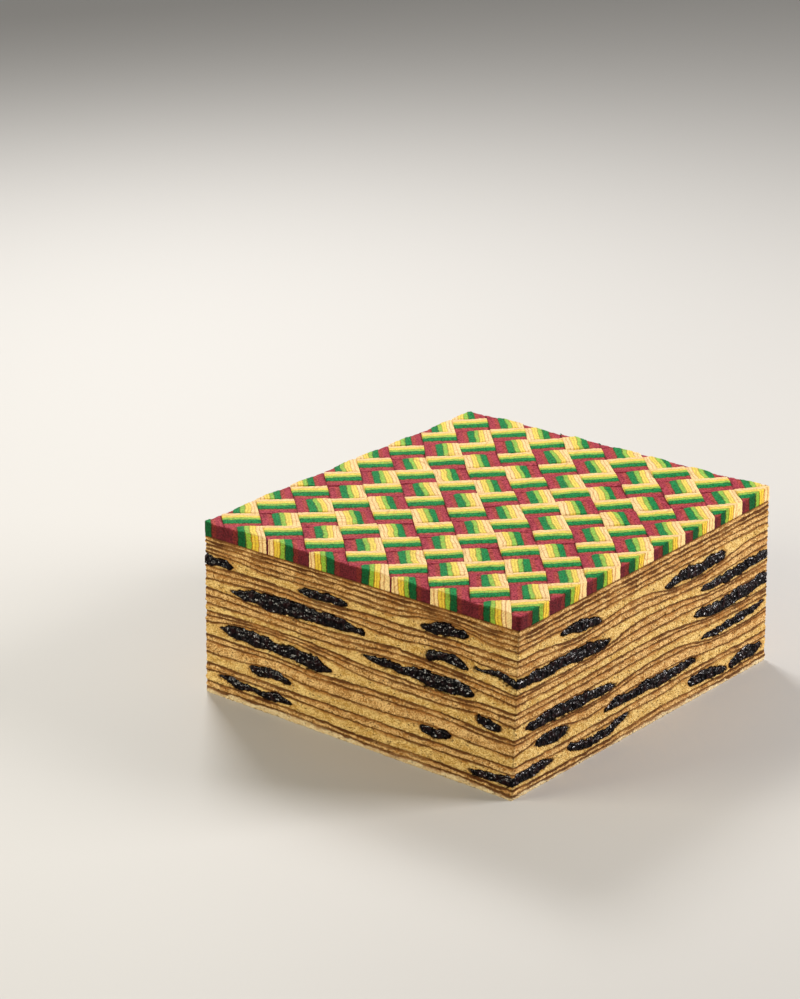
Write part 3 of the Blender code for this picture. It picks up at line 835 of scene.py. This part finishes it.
def keep_corners_sharp(blocks):
    """Keeps the shading sharp at the upright edges, where two cut sides meet."""
    for edge in blocks.edges:
        if all(abs(face.normal.z) < 0.5 for face in edge.link_faces):
            edge.smooth = edge.calc_face_angle(0.0) < SHARPEST_SMOOTH


tile_finish, glaze = plain_material("Striped tiles", TOP_COLOURS[0], 0.7)
recipe = Recipe(tile_finish.node_tree)
wobble = recipe.math("SUBTRACT", recipe.grain(2.4 * MM, 3.0, 0.6, 0.6), 0.5)
fuzz = recipe.math("SUBTRACT", recipe.grain(0.5 * MM, 2.0, 0.6, 0.8), 0.5)
plain_stripe = recipe.number("stripe")
uneven = recipe.math("SUBTRACT", recipe.grain(11.0 * MM, 1.0, 0.5, 1.3), 0.5)
uneven = recipe.math("MULTIPLY", uneven, recipe.math("MULTIPLY", recipe.fade(plain_stripe, 0.3, 0.6), 0.17))
stripe = recipe.math("ADD", plain_stripe, recipe.math("MULTIPLY", wobble, 0.05))
stripe = recipe.math("ADD", stripe, recipe.math("MULTIPLY", fuzz, 0.03))
stripe = recipe.math("ADD", stripe, uneven)
on_top = recipe.number("top")


def fill_ramp(ramp, stops):
    """Sets a colour ramp's stops."""
    while len(ramp.color_ramp.elements) < len(stops):
        ramp.color_ramp.elements.new(1.0)
    for element, (position, colour) in zip(ramp.color_ramp.elements, stops):
        element.position = position
        element.color = (*colour, 1.0)


def stripe_colours(colours):
    """The colour of the stripes, from the red side of a tile to the cream side."""
    stops = [(0.0, colours[0])]
    for edge, before, after in zip(STRIPE_EDGES, colours, colours[1:]):
        stops += [(edge - STRIPE_BLUR, before), (edge + STRIPE_BLUR, after)]
    ramp = recipe.add("ShaderNodeValToRGB", {"Fac": stripe})
    fill_ramp(ramp, stops)
    return ramp.outputs["Color"]


# The cut sides take the darker stripe colours, which carry painted shade, and the top faces the lighter
# ones
stripes = recipe.mix(on_top, stripe_colours(SHADED_CUT_COLOURS), stripe_colours(TOP_COLOURS))
NO_LINE = (0.0, 0.0, 0.0)
BROWN_THREAD = (0.60, 0.33, 0.09, 1.0)
BROWNING = (0.50, 0.20, 0.08, 1.0)
TILE_PORE_SHADE = (0.10, 0.035, 0.02, 1.0)
SUGAR_DUST_AND_SHEEN = (0.95, 0.82, 0.80, 1.0)
DARK_CRUMB = (0.54, 0.54, 0.54, 1.0)
LIGHT_CRUMB = (1.28, 1.28, 1.28, 1.0)
TILE_BUMP = 0.28 * MM
stops = [(0.0, NO_LINE)]
for edge, depth in [(edge, 1.0) for edge in STRIPE_EDGES[1:]] + list(FAINT_LINES):
    stops += [(edge - LINE_HALF, NO_LINE), (edge, (depth, depth, depth)), (edge + LINE_HALF, NO_LINE)]
line_ramp = recipe.add("ShaderNodeValToRGB", {"Fac": stripe})
fill_ramp(line_ramp, sorted(stops))
crumb = recipe.add("ShaderNodeGroup", node_tree=crumb_group)
crumb.inputs["Grain"].default_value = 0.9
crumb.inputs["Pores"].default_value = 0.15
shade = recipe.mix(crumb.outputs["Tone"], DARK_CRUMB, LIGHT_CRUMB)
pale = recipe.fade(stripe, 0.45, 0.7)
mottling = recipe.math("SUBTRACT", 1.0, recipe.math("MULTIPLY", pale, 0.65))
mottled = recipe.mix(mottling, stripes, shade, "MULTIPLY")
thread = recipe.math("MULTIPLY", plain_stripe, 20.0)
thread = recipe.math("ADD", thread, recipe.math("MULTIPLY", wobble, 0.45))
thread = recipe.math("ADD", thread, recipe.math("MULTIPLY", recipe.grain(30.0 * MM, 0.0, 0.5, 2.2), 90.0))
streak = recipe.add("ShaderNodeTexNoise", {"W": thread, "Scale": 1.0, "Detail": 2.0}, noise_dimensions="1D")
browned = recipe.math("MULTIPLY", recipe.fade(streak.outputs["Fac"], 0.52, 0.66), 0.5)
mottled = recipe.mix(recipe.math("MULTIPLY", browned, pale), mottled, BROWN_THREAD)
line_depth = recipe.math("SUBTRACT", 1.0, recipe.math("MULTIPLY", on_top, 0.35))
line_mask = recipe.math("MULTIPLY", line_ramp.outputs["Color"], line_depth)
lined = recipe.mix(line_mask, mottled, recipe.mix(1.0, mottled, BROWNING, "MULTIPLY"))
# The pores of the tiles are darkened with painted shade
pore_shaded = recipe.mix(recipe.math("MULTIPLY", crumb.outputs["Pore mask"], 0.5), lined, TILE_PORE_SHADE)
# A pale sugar dust and a painted sheen lighten the top faces in specks, most on the red
sheen_and_dust_amount = recipe.math("SUBTRACT", 0.05, recipe.math("MULTIPLY", recipe.fade(stripe, 0.29, 0.34), 0.042))
sheen_and_dust_share = recipe.math("MULTIPLY", on_top, recipe.math("MULTIPLY", crumb.outputs["Tone"], sheen_and_dust_amount))
recipe.put(glaze.inputs["Base Color"], recipe.mix(sheen_and_dust_share, pore_shaded, SUGAR_DUST_AND_SHEEN))
inputs = {"Height": crumb.outputs["Height"], "Strength": 1.0, "Distance": TILE_BUMP}
tile_bump = recipe.add("ShaderNodeBump", inputs)
recipe.put(glaze.inputs["Normal"], tile_bump.outputs["Normal"])
glaze.inputs["Specular IOR Level"].default_value = 0.12

for kind, parity in (("crosswise", 0), ("lengthwise", 1)):
    blocks = bmesh.new()
    blocks.verts.layers.float.new("stripe")
    blocks.verts.layers.float.new("top")
    for i in range(-TILE_REACH, TILE_REACH):
        for j in range(-TILE_REACH, TILE_REACH):
            if (i + j) % 2 == parity:
                add_tile(blocks, i, j)
    roughen_sides(blocks)
    bmesh.ops.recalc_face_normals(blocks, faces=blocks.faces)
    keep_corners_sharp(blocks)
    mesh = bpy.data.meshes.new("tiles_" + kind)
    blocks.to_mesh(mesh)
    blocks.free()
    piece = bpy.data.objects.new("tiles_" + kind, mesh)
    bpy.context.scene.collection.objects.link(piece)
    finish_piece(piece, "woven_top", tile_finish)
